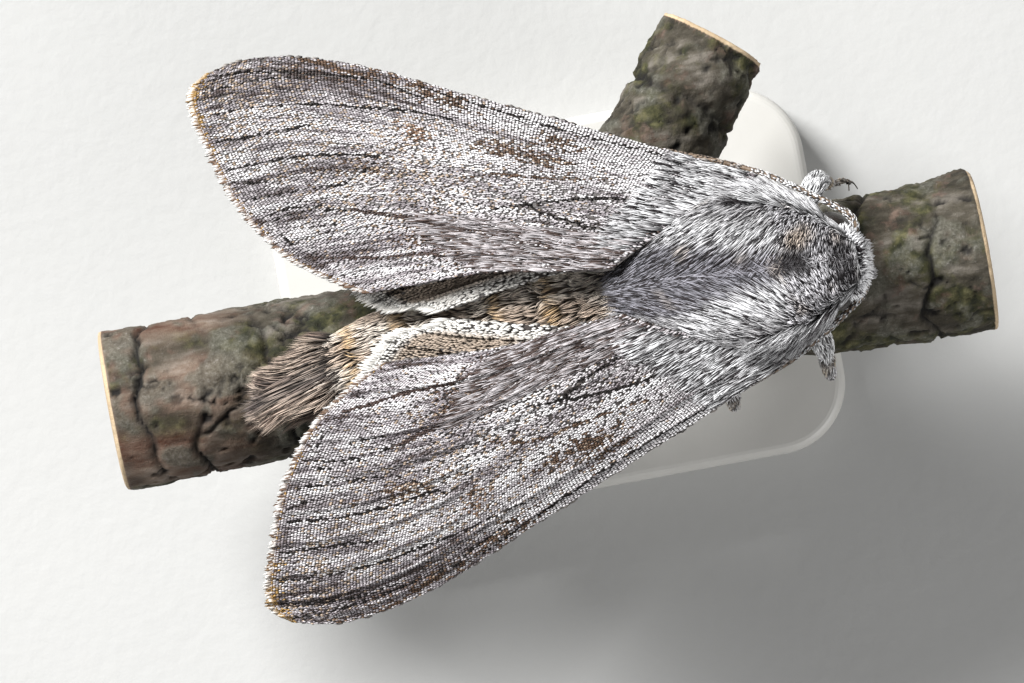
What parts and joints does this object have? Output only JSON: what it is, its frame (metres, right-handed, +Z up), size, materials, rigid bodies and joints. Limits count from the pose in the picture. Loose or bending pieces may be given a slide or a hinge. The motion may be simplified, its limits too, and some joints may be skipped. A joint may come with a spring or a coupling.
{
  "type": "hooded noctuid moth on a branch perch",
  "caption": "Life-size still model of a grey hooded noctuid moth, wings roofed back, on a cut branch perch held by a small rod stand",
  "frame": {"origin": "centre of the flat underside of the display stand's base", "axes": "+X towards the moth's head along the branch, +Y the moth's left side, +Z up"},
  "size_m": [0.0302, 0.0192, 0.0191],
  "materials": {
    "wing_scales": "matte",
    "hindwing_scales": "matte",
    "grey_fur": "matte",
    "tail_fur": "matte",
    "feeler": "matte",
    "leg_scales": "matte",
    "eye": "gloss",
    "bark": "rough",
    "stand_base": "satin",
    "stand_rod": "satin"
  },
  "bodies": {
    "root": {"head": "grey_fur", "collar": "grey_fur", "thorax": "grey_fur", "abdomen": "tail_fur", "tail_tuft": "tail_fur", "eye_left": "eye", "eye_right": "eye", "antenna_left": "feeler", "antenna_right": "feeler", "palp_left": "grey_fur", "palp_right": "grey_fur", "forewing_left": "wing_scales", "forewing_right": "wing_scales", "hindwing_left": "hindwing_scales", "hindwing_right": "hindwing_scales", "foreleg_left": "leg_scales", "foreleg_right": "leg_scales", "midleg_left": "leg_scales", "midleg_right": "leg_scales", "hindleg_left": "leg_scales", "hindleg_right": "leg_scales", "perch_branch": "bark", "stand_base": "stand_base", "stand_rod_front": "stand_rod", "stand_rod_rear": "stand_rod"}
  },
  "joints": []
}
